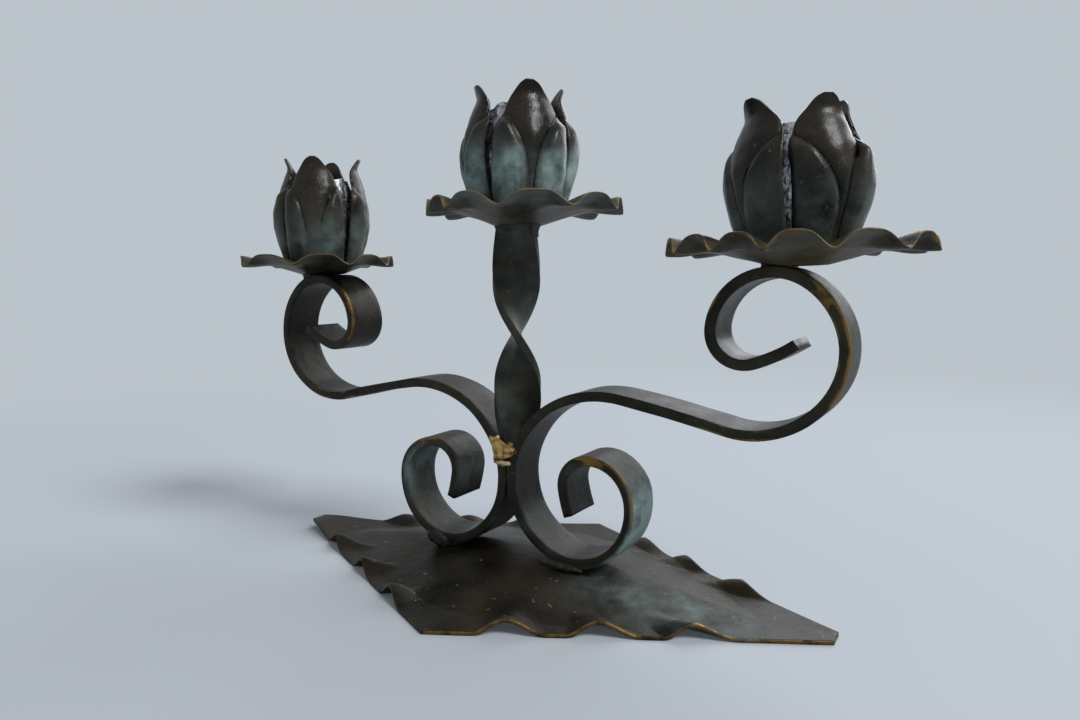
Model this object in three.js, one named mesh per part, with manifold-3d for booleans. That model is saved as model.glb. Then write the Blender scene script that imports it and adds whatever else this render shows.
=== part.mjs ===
// Three-light table candelabra in patinated brass. A leaf-shaped foot plate carries two scrolled flat bars,
// brazed back to back, and a twisted centre bar stands between them. Each bar carries a ruffled drip pan
// with a cup of four petals, and crumpled foil inside the cup grips the candle.
// Millimetres, +Z up. The origin is on the table, in the middle of the whole object's outer box. +X runs
// along the arms to the right-hand flower, and -Y is the side that shows the brazed lump on the joint.
import * as THREE from "three";
import { mergeVertices } from "three/addons/utils/BufferGeometryUtils.js";
import Module from "manifold-3d";

const degrees = Math.PI / 180;

// Driving dimensions
const clearance = 0.3;            // left between pieces that are brazed, welded or set on each other
const barWidth = 20;              // the flat bar of the scrolls and the centre bar
const barThickness = 4;

const plateHalfLength = 130;      // foot plate: a lozenge with cut tips
const plateHalfWidth = 71;
const plateTipWidth = 8;
const plateThickness = 1.5;
const plateOffset = 1.3;          // its middle lies this far along X from the joint of the bars
const barPlaneY = -3;             // and the bars stand this far in front of its middle
const domeHeight = 10.6;          // the plate is raised along its middle
const domeReach = 0.78;           // share of the way to the outline where the raised part ends
const ridgePower = 1.6;           // its shape along the plate, which leaves a ridge down the middle
const slopePower = 1.3;           // and across it
const crimpInnerShare = 0.74;     // share of the way out where the crimps begin to rise
const crimpFootShare = 0.55;      // of its half width, which a crimp has left where it begins
// Crimps of each edge: height, half width, how far they lean over, and places from the wide corner to the tip
const crimps = {
  frontRight: { height: 4.8, halfWidth: 0.09, lean: 0.1, places: [0.208, 0.428, 0.65] },
  frontLeft: { height: 5.2, halfWidth: 0.088, lean: -0.45, places: [0.192, 0.43, 0.684] },
  backRight: { height: 4.3, halfWidth: 0.085, lean: 0.2, places: [0.275, 0.463, 0.68] },
  backLeft: { height: 4.2, halfWidth: 0.09, lean: 0, places: [0.225, 0.445, 0.665] },
};
const raisedTipHeight = 3;        // the left tip is bent off the table
const raisedTipLength = 34;
const plateEdgeSteps = 17;
const plateRings = [0.2, 0.4, 0.6, 0.78, 0.9, 1];     // shares of the way to the outline

// Bends of one scroll, outwards from the joint where both scrolls stand back to back.
// A positive turn is to the left of the way walked.
const upperBends = [
  { radius: 31.5, turn: -20.6 },
  { radius: 40.2, turn: -43.2 },
  { radius: 47.5, turn: -35.6 },
  { radius: 573, turn: -4.1 },
  { radius: 34, turn: 60 },
  { radius: 28.2, turn: 96.9 },
  { radius: 21.4, turn: 120.4 },
  { radius: 11.8, turn: 114.7 },
  { radius: 58, turn: 15.8 },
];
const lowerBends = [
  { radius: 31.5, turn: 73.2 },
  { radius: 24.9, turn: 113.7 },
  { radius: 17.1, turn: 94.6 },
  { radius: 11.3, turn: 86.3 },
  { radius: 53.7, turn: 12.1 },
];
const bendStep = 11 * degrees;

const centreBarTop = 150.2;
const twistStart = 90 * degrees;  // the bar's width runs fore and aft at its foot
const twistTurn = -280 * degrees;
const twistEase = 0.55;           // 0 twists evenly, 1 eases fully in and out
const twistSteps = 32;

const panThickness = 1.2;
const panFloorRadius = 10;        // the pan is flat up to here and then rises as a bowl
const panBelly = 0.6;             // 0 makes a plain cone, more makes a fuller bowl
const panRuffleStart = 0.62;      // share of the radius where the ruffles begin
const panSegments = 44;
const panRings = [0.42, 0.62, 0.82, 1];      // shares of the radius

const cupOverhang = 5.1;          // the outer cups sit this far outwards from the crowns of the scrolls
const centreCupX = 1.5;           // and the centre cup this far to the right of its bar
const petalCount = 4;
const petalThickness = 1.1;
const petalSlit = 1.8;            // between neighbours
const petalRows = 11;
const petalColumns = 8;
const lobeTop = 0.7;              // share of the height where the side lobes end
const creaseAtFoot = 0.14;        // a crease's share of the way from the petal's middle to its edge
const creaseAtLobeTop = 0.8;
const sideLobeRelief = 1.5;       // the side lobes stand this far proud of the crease
const middleLobeRelief = 1.3;
const sideLobeSpan = [0, 0.2, 0.6, 0.8];       // shares of the height where a relief starts, is full,
const middleLobeSpan = [0.25, 0.55, 0.8, 1];   // starts to fade and ends
// Share of the cup's radius and of the petal's height, from the foot to the curled tip
const petalProfile = new THREE.SplineCurve([
  new THREE.Vector2(0.8, 0),
  new THREE.Vector2(0.9, 0.17),
  new THREE.Vector2(0.97, 0.34),
  new THREE.Vector2(0.99, 0.5),
  new THREE.Vector2(0.94, 0.64),
  new THREE.Vector2(0.85, 0.76),
  new THREE.Vector2(0.785, 0.86),
  new THREE.Vector2(0.8, 0.93),
  new THREE.Vector2(0.86, 1),
]);
// Share of the way up the profile, and share of the full width there
const petalWidths = [[0.5, 1], [0.64, 0.93], [0.72, 0.78], [0.82, 0.69], [0.91, 0.5], [0.96, 0.34], [1, 0.12]];

const foilHeight = 44;            // crumpled foil wrapped round the candle's foot
const foilFootRadius = 13;
const foilRings = [0.1, 0.35, 0.6, 0.8, 1];  // shares of the height
const foilBore = 23;              // takes a 22 mm candle
const foilFloor = 1;
const foilCrumple = 0.35;
const foilRoom = 0.6;             // between the foil and the petals
const foilFolds = 7;              // folds round the foil, and how often their depth comes and goes
const foilFades = 3;
const foilSegments = 18;

// Filler metal at each joint: how far each blob's middle lies from the joint, and its three radii
const fillerSizes = {
  braze_joint: { shift: [-1.5, 0.6, 0], radii: [7.6, 2.6, 7.4] },
  weld_foot_left: { shift: [-8, 1.5, 0.6], radii: [6.5, 4.6, 3.2] },
  weld_foot_right: { shift: [-3, -0.4, 0.3], radii: [10, 2.8, 2.6] },
  weld_pan_left: { shift: [-9, 0, 0], radii: [6.5, 9.4, 2.6] },
  weld_pan_right: { shift: [-9, 0, 0], radii: [6.5, 9.4, 2.6] },
  braze_pan_center: { shift: [0.5, 0, -0.6], radii: [12, 4.6, 3.8] },
};

// Each flower: its pan, its cup, and the directions in which the pan's edge is crimped upwards
const flowers = {
  left: {
    panRadius: 36.6, panShift: -3, panDepth: 6.3, ruffle: 2.2,
    cupRadius: 21.8, petalHeight: 50.6, petalTurn: -53,
    crests: [-88, -43, -2, 38, 80, 118, 155, 192, 231],
  },
  center: {
    panRadius: 40.3, panShift: 3, panDepth: 7.4, ruffle: 2.6,
    cupRadius: 23.6, petalHeight: 49.8, petalTurn: -43.5,
    crests: [-112, -88, -48, -11, 17, 52, 88, 124, 160, 196, 224],
  },
  right: {
    panRadius: 43.5, panShift: -1, panDepth: 6.8, ruffle: 2.6,
    cupRadius: 23.8, petalHeight: 50, petalTurn: -39,
    crests: [-152, -123, -102, -79, -50, -15, 16, 48, 80, 112, 144, 176],
  },
};

// Finishes
const patina = new THREE.MeshStandardMaterial({ color: 0x3a3a33, roughness: 0.5, metalness: 0.7 });
const greenPatina = new THREE.MeshStandardMaterial({ color: 0x3d4a46, roughness: 0.5, metalness: 0.6 });
const bareBrass = new THREE.MeshStandardMaterial({ color: 0xb08d4a, roughness: 0.45, metalness: 0.9 });
const foilMetal = new THREE.MeshStandardMaterial({ color: 0xc9cbcf, roughness: 0.3, metalness: 1 });

const wasm = await Module();
wasm.setup();

// Small sums
const clamp01 = (value) => Math.min(1, Math.max(0, value));
const smooth = (value) => clamp01(value) ** 2 * (3 - 2 * clamp01(value));
const mix = (a, b, share) => a + (b - a) * share;
const swell = (place, [start, full, fading, end]) =>
  smooth((place - start) / (full - start)) * (1 - smooth((place - fading) / (end - fading)));

// Straight-line look-up in a list of [place, value] pairs
function lookUp(pairs, place) {
  const next = pairs.findIndex(([p]) => p >= place);
  if (next === 0) return pairs[0][1];
  if (next < 0) return pairs[pairs.length - 1][1];
  const [p0, v0] = pairs[next - 1];
  const [p1, v1] = pairs[next];
  return mix(v0, v1, (place - p0) / (p1 - p0));
}

function addMesh(parent, name, geometry, material) {
  const mesh = new THREE.Mesh(geometry, material);
  mesh.name = name;
  parent.add(mesh);
  return mesh;
}

// A skin from points and triangles, each triangle three indices
function skinOf(points, triangles) {
  const geometry = new THREE.BufferGeometry();
  geometry.setAttribute("position", new THREE.Float32BufferAttribute(points.flat(), 3));
  geometry.setIndex(triangles.flat());
  return geometry;
}

// Joins closed rings of points into a skin, and closes the first and the last ring with a fan
function skinFromRings(rings) {
  const points = rings.flat();
  const around = rings[0].length;
  const triangles = [];
  for (let ring = 0; ring < rings.length - 1; ring += 1) {
    for (let i = 0; i < around; i += 1) {
      const a = ring * around + i;
      const b = ring * around + ((i + 1) % around);
      triangles.push([a, b, b + around], [a, b + around, a + around]);
    }
  }
  const middleOf = (ring) => ring.reduce((sum, p) => sum.map((v, k) => v + p[k] / around), [0, 0, 0]);
  const last = (rings.length - 1) * around;
  const firstMiddle = points.push(middleOf(rings[0])) - 1;
  const lastMiddle = points.push(middleOf(rings[rings.length - 1])) - 1;
  for (let i = 0; i < around; i += 1) {
    const j = (i + 1) % around;
    triangles.push([firstMiddle, j, i], [lastMiddle, last + i, last + j]);
  }
  return skinOf(points, triangles);
}

// Joins two equal grids of points, the outer and the inner face of a sheet, along all four edges
function skinFromSheet(outer, inner) {
  const rows = outer.length;
  const columns = outer[0].length;
  const at = (i, j) => i * columns + j;
  const behind = rows * columns;
  const triangles = [];
  for (let i = 0; i < rows - 1; i += 1) {
    for (let j = 0; j < columns - 1; j += 1) {
      const [a, b, c, d] = [at(i, j), at(i, j + 1), at(i + 1, j + 1), at(i + 1, j)];
      triangles.push([a, b, c], [a, c, d]);
      triangles.push([a + behind, c + behind, b + behind], [a + behind, d + behind, c + behind]);
    }
  }
  const rim = [];
  for (let j = 0; j < columns - 1; j += 1) rim.push(at(0, j));
  for (let i = 0; i < rows - 1; i += 1) rim.push(at(i, columns - 1));
  for (let j = columns - 1; j > 0; j -= 1) rim.push(at(rows - 1, j));
  for (let i = rows - 1; i > 0; i -= 1) rim.push(at(i, 0));
  rim.forEach((p, k) => {
    const q = rim[(k + 1) % rim.length];
    triangles.push([q, p, p + behind], [q, p + behind, q + behind]);
  });
  return skinOf([...outer.flat(), ...inner.flat()], triangles);
}

// Foot plate. Its own middle is the zero of x and y here.
function domeRise(x, y) {
  const share = (Math.abs(x / plateHalfLength) ** ridgePower
    + Math.abs(y / plateHalfWidth) ** slopePower) ** (1 / ridgePower);
  return share < domeReach ? domeHeight * Math.cos((Math.PI / 2) * (share / domeReach)) : 0;
}

// The crimps' rise at a place along an edge, 0 at the wide corner and 1 at the tip. A crimp is narrower
// where it begins, and its lean moves its top along the edge.
function crimpRise(edge, along, outwards) {
  const { height, halfWidth, lean, places } = crimps[edge];
  const fade = smooth((outwards - crimpInnerShare) / (1 - crimpInnerShare));
  const offsets = places.map((place) => (along - place) / halfWidth / mix(crimpFootShare, 1, fade));
  const offset = offsets.reduce((nearest, t) => (Math.abs(t) < Math.abs(nearest) ? t : nearest));
  const leaning = offset + lean * clamp01(1 - offset ** 2);
  return height * fade * (0.5 + 0.5 * Math.cos(Math.PI * clamp01(Math.abs(leaning))));
}

function tipRise(x) {
  return raisedTipHeight * smooth((-x - plateHalfLength + raisedTipLength) / raisedTipLength);
}

function plateOutline() {
  const edge = Array.from({ length: plateEdgeSteps + 1 }, (_, i) => {
    const along = i / plateEdgeSteps;
    return { x: plateHalfLength * along, y: mix(plateHalfWidth, plateTipWidth / 2, along), along };
  });
  const quarter = (name, sx, sy) => edge.map(({ x, y, along }) => ({ x: sx * x, y: sy * y, along, name }));
  return [
    ...quarter("frontRight", 1, -1),
    ...quarter("backRight", 1, 1).reverse(),
    ...quarter("backLeft", -1, 1).slice(1),
    ...quarter("frontLeft", -1, -1).reverse().slice(0, -1),
  ];
}

function footPlate(spare = 0) {
  const outline = plateOutline();
  const ring = (share, lift) => outline.map(({ x, y, along, name }) => [x * share, y * share,
    lift + domeRise(x * share, y * share) + crimpRise(name, along, share) + tipRise(x * share)]);
  const under = plateRings.map((share) => ring(share, 0));
  const top = plateRings.map((share) => ring(share, plateThickness + spare));
  return skinFromRings([...under, ...top.reverse()]);
}

// Scrolled bars. The joint of the bars is the zero of x from here on.
function walkBends(start, bends) {
  const stations = [start];
  for (const { radius, turn } of bends) {
    const sweep = turn * degrees;
    const steps = Math.max(1, Math.round(Math.abs(sweep) / bendStep));
    const chord = 2 * radius * Math.sin(Math.abs(sweep / steps) / 2);
    for (let i = 0; i < steps; i += 1) {
      const last = stations[stations.length - 1];
      const way = last.heading + sweep / steps / 2;
      stations.push({
        x: last.x + chord * Math.cos(way),
        z: last.z + chord * Math.sin(way),
        heading: last.heading + sweep / steps,
      });
    }
  }
  return stations;
}

const backToBack = (barThickness + clearance) / 2;
const lowerWalk = walkBends({ x: backToBack, z: 0, heading: -90 * degrees }, lowerBends);
const upperWalk = walkBends({ x: backToBack, z: 0, heading: 90 * degrees }, upperBends);

// A point on the bar's face, to the left of the walk when the shift is positive
const beside = ({ x, z, heading }, shift) => [x - shift * Math.sin(heading), z + shift * Math.cos(heading)];

// Both scrolls come down until the first of their lower loops is a clearance above the dome
const jointZ = Math.max(...[-1, 1].flatMap((side) => lowerWalk.map((station) => {
  const [x, z] = beside(station, -barThickness / 2);
  return plateThickness + domeRise(side * x - plateOffset, 0) + clearance - z;
})));

function scrollBar(side, spare = 0) {
  const stations = [
    ...lowerWalk.slice(1).reverse().map(({ x, z, heading }) => ({ x, z, heading: heading + Math.PI })),
    ...upperWalk,
  ];
  const reach = barThickness / 2 + spare;
  const rim = [
    ...stations.map((station) => beside(station, reach)),
    ...stations.map((station) => beside(station, -reach)).reverse(),
  ];
  const shape = new THREE.Shape(rim.map(([x, z]) => new THREE.Vector2(side * x, z + jointZ)));
  const width = barWidth + 2 * spare;
  const geometry = new THREE.ExtrudeGeometry(shape, { depth: width, bevelEnabled: false });
  return geometry.translate(0, 0, -width / 2).rotateX(90 * degrees);
}

const cupLoopTop = upperWalk.reduce((best, station) => (station.z > best.z ? station : best));
const crownX = cupLoopTop.x;
const armTop = jointZ + cupLoopTop.z + barThickness / 2;

// Centre bar: the same flat bar, twisted. Its foot goes down between the scrolls as far as it fits.
const faceRadius = upperBends[0].radius + barThickness / 2;
const footInset = (barThickness + clearance) / 2;
const centreBarFoot = jointZ + Math.sqrt(faceRadius ** 2 - (faceRadius - footInset) ** 2);

function centreBar(spare = 0) {
  const length = centreBarTop - centreBarFoot;
  const [width, thickness] = [barWidth + 2 * spare, barThickness + 2 * spare];
  const geometry = new THREE.BoxGeometry(width, thickness, length, 2, 1, twistSteps);
  const position = geometry.getAttribute("position");
  const point = new THREE.Vector3();
  const up = new THREE.Vector3(0, 0, 1);
  for (let i = 0; i < position.count; i += 1) {
    point.fromBufferAttribute(position, i);
    const share = point.z / length + 0.5;
    point.applyAxisAngle(up, twistStart + twistTurn * mix(share, smooth(share), twistEase));
    position.setXYZ(i, point.x, point.y, point.z);
  }
  return geometry.translate(0, 0, centreBarFoot + length / 2);
}

// Drip pan, with its underside's flat middle at zero height. Its bowl is centred on the cup, and its rim
// reaches further to the side that it is shifted to.
function panRise(radius, rimRadius, panDepth) {
  const share = clamp01((radius - panFloorRadius) / (rimRadius - panFloorRadius));
  return panDepth * share * (1 + panBelly * (1 - share));
}

// The height of the pan's upper face under a round foot that stands in it, on the side where it is highest
function panSeat({ panRadius, panShift, panDepth }, footRadius) {
  return panThickness + panRise(footRadius, panRadius - Math.abs(panShift), panDepth) + clearance;
}

// A wave round the pan that is 1 at each crest and -1 halfway between two
function ruffleAt(angle, crests) {
  const turns = [...crests, crests[0] + 360];
  const place = ((angle - crests[0]) % 360 + 360) % 360 + crests[0];
  const next = turns.findIndex((crest) => crest > place);
  return Math.cos(2 * Math.PI * ((place - turns[next - 1]) / (turns[next] - turns[next - 1])));
}

function dripPan({ panRadius, panShift, panDepth, ruffle, crests }, spare = 0) {
  const ring = (share, lift) => Array.from({ length: panSegments }, (_, i) => {
    const angle = 360 * (i / panSegments);
    const rimRadius = panRadius + panShift * Math.cos(angle * degrees);
    const radius = share ? share * rimRadius : panFloorRadius;
    const wave = ruffle * smooth((share - panRuffleStart) / (1 - panRuffleStart)) * ruffleAt(angle, crests);
    const z = lift + panRise(radius, rimRadius, panDepth) + wave;
    return [radius * Math.cos(angle * degrees), radius * Math.sin(angle * degrees), z];
  });
  const under = [0, ...panRings].map((share) => ring(share, -spare));
  const top = [0, ...panRings].map((share) => ring(share, panThickness));
  return skinFromRings([...under, ...top.reverse()]);
}

// Petal. Rows go up the profile, and columns go from slit to slit with a crease between the lobes.
function petalPoint({ cupRadius, petalHeight }, share, column) {
  const profile = petalProfile.getPoint(share);
  const tangent = petalProfile.getTangent(share);
  const bodyRadius = cupRadius - Math.max(sideLobeRelief, middleLobeRelief);
  const radius = bodyRadius * profile.x;
  const fullAngle = Math.PI / petalCount - Math.asin(petalSlit / 2 / radius);
  const crease = mix(creaseAtFoot, creaseAtLobeTop, clamp01(share / lobeTop));
  const fromMiddle = Math.abs(column);
  const inSideLobe = clamp01(2 * fromMiddle - 1);
  const inMiddleLobe = clamp01(2 * fromMiddle);
  const across = fromMiddle > 0.5 ? mix(crease, 1, inSideLobe) : crease * inMiddleLobe;
  const angle = Math.sign(column) * across * lookUp(petalWidths, share) * fullAngle;
  const sideRelief = sideLobeRelief * Math.sin(Math.PI * inSideLobe) * swell(share, sideLobeSpan);
  const middleRelief = middleLobeRelief * (1 - inMiddleLobe ** 2) * swell(share, middleLobeSpan);
  const steepness = Math.hypot(tangent.x * bodyRadius, tangent.y * petalHeight);
  return {
    angle,
    radius: radius + sideRelief + middleRelief,
    z: petalHeight * profile.y,
    normal: [(tangent.y * petalHeight) / steepness, (-tangent.x * bodyRadius) / steepness],
  };
}

const petalSeat = (flower) => panSeat(flower, petalPoint(flower, 0, 0).radius);

function petal(flower) {
  const face = (depth) => Array.from({ length: petalRows + 1 }, (_, i) =>
    Array.from({ length: petalColumns + 1 }, (_unused, j) => {
      const point = petalPoint(flower, i / petalRows, (2 * j) / petalColumns - 1);
      const radius = point.radius - depth * point.normal[0];
      const z = point.z - depth * point.normal[1];
      return [radius * Math.cos(point.angle), radius * Math.sin(point.angle), z];
    }));
  return skinFromSheet(face(0), face(petalThickness));
}

// Crumpled foil with a bore for the candle. It fills the cup up to the inner face of the petals.
function foilLiner(flower) {
  const petalsStartAt = petalSeat(flower) - panSeat(flower, foilFootRadius);
  const innerFace = Array.from({ length: petalRows + 1 }, (_, i) => {
    const { radius, z, normal } = petalPoint(flower, i / petalRows, 1);
    return [petalsStartAt + z - petalThickness * normal[1], radius - petalThickness * normal[0]];
  });
  const ring = (z, radius, crumple) => Array.from({ length: foilSegments }, (_, i) => {
    const angle = 360 * degrees * (i / foilSegments);
    const r = radius + crumple * Math.sin(foilFolds * angle + z) * Math.cos(foilFades * angle - z);
    return [r * Math.cos(angle), r * Math.sin(angle), z];
  });
  const outside = foilRings.map((share) => {
    const z = foilHeight * share;
    return ring(z, lookUp(innerFace, z) - foilCrumple - foilRoom, foilCrumple);
  });
  return skinFromRings([
    ring(0, foilFootRadius, 0),
    ...outside,
    ring(foilHeight - foilCrumple, foilBore / 2, 0),
    ring(foilFloor, foilBore / 2, 0),
  ]);
}

// Filler metal: a flattened blob, cut back a clearance from the pieces that it joins
function solidOf(geometry) {
  geometry.deleteAttribute("normal");
  geometry.deleteAttribute("uv");
  const merged = mergeVertices(geometry);
  return new wasm.Manifold(new wasm.Mesh({
    numProp: 3,
    vertProperties: merged.getAttribute("position").array,
    triVerts: new Uint32Array(merged.index.array),
  }));
}

function fillerMetal(centre, radii, neighbours) {
  let solid = solidOf(new THREE.SphereGeometry(1, 12, 8).scale(...radii).translate(...centre));
  for (const neighbour of neighbours) solid = solid.subtract(solidOf(neighbour));
  // Crumbs that a bar cuts off are not part of the blob
  const blob = solid.decompose().reduce((a, b) => (b.volume() > a.volume() ? b : a));
  const mesh = blob.getMesh();
  const geometry = new THREE.BufferGeometry();
  geometry.setAttribute("position", new THREE.BufferAttribute(mesh.vertProperties, 3));
  geometry.setIndex(new THREE.BufferAttribute(mesh.triVerts, 1));
  return geometry;
}

// Assembly. The origin of the whole is midway between the rims of the outer pans.
const stands = {
  left: { x: -crownX - cupOverhang, top: armTop },
  center: { x: centreCupX, top: centreBarTop },
  right: { x: crownX + cupOverhang, top: armTop },
};
const rimX = (side, way) => stands[side].x + flowers[side].panShift + way * flowers[side].panRadius;

const model = new THREE.Group();
const metalwork = new THREE.Group();
metalwork.position.set(-(rimX("left", -1) + rimX("right", 1)) / 2, barPlaneY, 0);
model.add(metalwork);

addMesh(metalwork, "leaf_foot_plate", footPlate(), patina).position.set(plateOffset, -barPlaneY, 0);
addMesh(metalwork, "scroll_bar_left", scrollBar(-1), patina);
addMesh(metalwork, "scroll_bar_right", scrollBar(1), patina);
addMesh(metalwork, "twisted_centre_bar", centreBar(), patina);

for (const [side, { x, top }] of Object.entries(stands)) {
  const flower = flowers[side];
  const cup = new THREE.Group();
  cup.position.set(x, 0, top + clearance);
  metalwork.add(cup);
  addMesh(cup, `drip_pan_${side}`, dripPan(flower), patina);
  for (let i = 0; i < petalCount; i += 1) {
    const mesh = addMesh(cup, `petal_${side}_${i + 1}`, petal(flower), greenPatina);
    mesh.position.z = petalSeat(flower);
    mesh.rotation.z = flower.petalTurn * degrees + (2 * Math.PI * i) / petalCount;
  }
  const foil = addMesh(cup, `foil_liner_${side}`, foilLiner(flower), foilMetal);
  foil.position.z = panSeat(flower, foilFootRadius);
}

const scrolls = () => [scrollBar(-1, clearance), scrollBar(1, clearance)];
const plateBelow = () => footPlate(clearance).translate(plateOffset, -barPlaneY, 0);
function panAbove(side) {
  const { x, top } = stands[side];
  return dripPan(flowers[side], clearance).translate(x, 0, top + clearance);
}
const nearEdge = -barWidth / 2;
const footCentre = lowerWalk.reduce((best, station) => (station.z < best.z ? station : best));
const footZ = jointZ + footCentre.z - barThickness / 2;

// Each joint with filler metal: where it is, and the pieces that meet there
const joints = {
  braze_joint: [[0, nearEdge, centreBarFoot], [...scrolls(), centreBar(clearance)]],
  weld_foot_left: [[-footCentre.x, nearEdge, footZ], [...scrolls(), plateBelow()]],
  weld_foot_right: [[footCentre.x, nearEdge, footZ], [...scrolls(), plateBelow()]],
  weld_pan_left: [[-crownX, 0, armTop], [...scrolls(), panAbove("left")]],
  weld_pan_right: [[crownX, 0, armTop], [...scrolls(), panAbove("right")]],
  braze_pan_center: [[0, 0, centreBarTop], [centreBar(clearance), panAbove("center")]],
};
for (const [name, [place, neighbours]] of Object.entries(joints)) {
  const { shift, radii } = fillerSizes[name];
  const middle = place.map((value, axis) => value + shift[axis]);
  const finish = name === "braze_joint" ? bareBrass : patina;
  addMesh(metalwork, name, fillerMetal(middle, radii, neighbours), finish);
}

export default model;
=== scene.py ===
# Dressed model of a three-light candelabra in patinated brass. A leaf-shaped foot plate carries scrolled
# flat bars and a twisted centre bar, and these carry ruffled drip pans with cups of beaten petals.
# Shapes are modelled in millimetres and brought to metres when a piece is finished.
import bmesh
import bpy
import math
from mathutils import Matrix, Vector, noise


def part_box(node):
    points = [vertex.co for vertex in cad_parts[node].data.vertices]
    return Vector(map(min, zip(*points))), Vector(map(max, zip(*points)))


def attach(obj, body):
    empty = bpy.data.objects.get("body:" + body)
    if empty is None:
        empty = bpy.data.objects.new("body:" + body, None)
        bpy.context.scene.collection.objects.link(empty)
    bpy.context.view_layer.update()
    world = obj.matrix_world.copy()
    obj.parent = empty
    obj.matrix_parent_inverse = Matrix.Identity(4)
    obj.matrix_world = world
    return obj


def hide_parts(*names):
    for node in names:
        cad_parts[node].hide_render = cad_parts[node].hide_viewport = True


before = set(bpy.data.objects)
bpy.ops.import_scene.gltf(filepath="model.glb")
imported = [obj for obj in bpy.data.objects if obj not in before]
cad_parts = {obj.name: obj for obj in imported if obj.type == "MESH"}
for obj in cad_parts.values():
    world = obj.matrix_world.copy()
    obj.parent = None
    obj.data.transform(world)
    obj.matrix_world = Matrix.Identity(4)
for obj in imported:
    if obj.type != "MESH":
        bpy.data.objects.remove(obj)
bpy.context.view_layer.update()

MM = 0.001
noise.seed_set(1)                 # without a seed the foil's creases would differ on every run

# Flat bar of the scrolls and the centre bar
BAR_WIDTH = 20
BAR_THICKNESS = 4
BAR_CORNER = 0.5
BAR_GAP = 0.3                     # between the two scrolls where they stand back to back
BAR_SECTION_STRIPS = 10           # across the width
ROLLING_STEP = 2.2                # along the bar
ROLLING_TURN = 5                  # degrees, where the bend is tight
# Bends of one scroll, outwards from the joint: radius, and turn in degrees, positive to the left
UPPER_BENDS = [(31.5, -20.6), (40.2, -43.2), (47.5, -35.6), (573, -4.1), (34, 60), (28.2, 96.9),
               (21.4, 120.4), (11.8, 114.7), (58, 15.8)]
LOWER_BENDS = [(31.5, 73.2), (24.9, 113.7), (17.1, 94.6), (11.3, 86.3), (53.7, 12.1)]
CROWN_BEND = 6                    # the upper bend that carries the pan
TWIST_TURN = -280                 # degrees over the centre bar
TWIST_EASE = 0.55                 # 0 twists evenly, 1 eases fully in and out
TWIST_STEPS = 110
EDGE_WEAR = 0.42                  # of a bar's edges where hands seldom reach
HAND_WEAR = 0.58                  # that hands add in the rubbed stretches
INNER_EDGE_SHARE = 0.7            # of that wear, on the edges of a scroll's inner face
NEAR_EDGE_Y = -12.4               # the bars' near edges lie in front of this
THIN_VERDIGRIS = 0.12             # on the scrolls outside the drifts
STEM_VERDIGRIS = 0.28

# Foot plate
PLATE_HALF_LENGTH = 130
PLATE_HALF_WIDTH = 71
PLATE_TIP_WIDTH = 8
PLATE_THICKNESS = 1.5
PLATE_STRIPS = 190
DOME_HEIGHT = 10.6
DOME_REACH = 0.78                 # share of the way to the outline
RIDGE_POWER = 1.6                 # along the plate, which leaves a ridge down its middle
SLOPE_POWER = 1.3                 # across it
CRIMP_INNER_SHARE = 0.74          # of the way out, where the crimps begin to rise
CRIMP_FOOT_SHARE = 0.55           # of its half width, which a crimp has left where it begins
CRIMP_PULL = 1.2                  # by which a crimp draws the edge in
# Crimps of each edge: height, half width, how far they lean, and places from the wide corner to the tip
CRIMPS = {
    ("front", "right"): dict(height=4.8, half_width=0.09, lean=0.1, places=[0.208, 0.428, 0.65]),
    ("front", "left"): dict(height=5.2, half_width=0.088, lean=-0.45, places=[0.192, 0.43, 0.684]),
    ("back", "right"): dict(height=4.3, half_width=0.085, lean=0.2, places=[0.275, 0.463, 0.68]),
    ("back", "left"): dict(height=4.2, half_width=0.09, lean=0, places=[0.225, 0.445, 0.665]),
}
RAISED_TIP_HEIGHT = 3
RAISED_TIP_LENGTH = 34
RIM_WEAR = 0.58
NEAR_RIGHT_RIM_WEAR = 0.76

# Drip pans
PAN_THICKNESS = 1.2
PAN_FLOOR_RADIUS = 10
PAN_BELLY = 0.6
PAN_RUFFLE_START = 0.62           # share of the radius
PAN_RUFFLE_PULL = 0.6             # by which a crest draws the rim in
PAN_RIM_THINNING = 0.45           # the sheet is beaten thinner towards its rim
PAN_THINNING_START = 0.8          # share of the radius
PAN_THINNING_SPAN = 0.2
PAN_RINGS = 26
PAN_SEGMENTS = 220

# Petals
PETAL_COUNT = 4
PETAL_THICKNESS = 1.1
PETAL_SLIT = 1.2                  # at the foot; each petal's gaps widen it upwards
PETAL_ROWS = 60
PETAL_COLUMNS = 44
PETAL_BODY_INSET = 1.8            # the plain form stands inside the cup's radius, to leave room for lobes
LOBE_TOP = 0.7                    # share of the height where the side lobes end
CREASE_AT_FOOT = 0.04             # share of the half width
CREASE_REACH = 0.75               # share of the height where the creases would meet the petal's sides
SIDE_LOBE_RELIEF = 2.9
MIDDLE_LOBE_RELIEF = 1.7
UNBEATEN_TIP = 3                  # below a petal's top, where the hammer marks have faded out
TIP_FADE = 12                     # and they fade over this height
# Share of the height, and share of the cup's radius there
PETAL_PROFILE = [(0, 0.83), (0.1, 0.885), (0.2, 0.935), (0.34, 0.98), (0.5, 0.99), (0.62, 0.95),
                 (0.72, 0.88), (0.8, 0.81), (0.86, 0.775), (0.91, 0.785), (0.96, 0.82), (1, 0.855)]
# Share of the height, and share of the full half width there
PETAL_OUTLINE = [(0, 1), (0.25, 1), (0.45, 0.99), (0.56, 0.965), (0.62, 0.93), (0.66, 0.88),
                 (0.69, 0.81), (0.72, 0.765), (0.77, 0.735), (0.82, 0.69), (0.87, 0.6), (0.91, 0.49),
                 (0.95, 0.365), (0.98, 0.24), (1, 0.1)]

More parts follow.
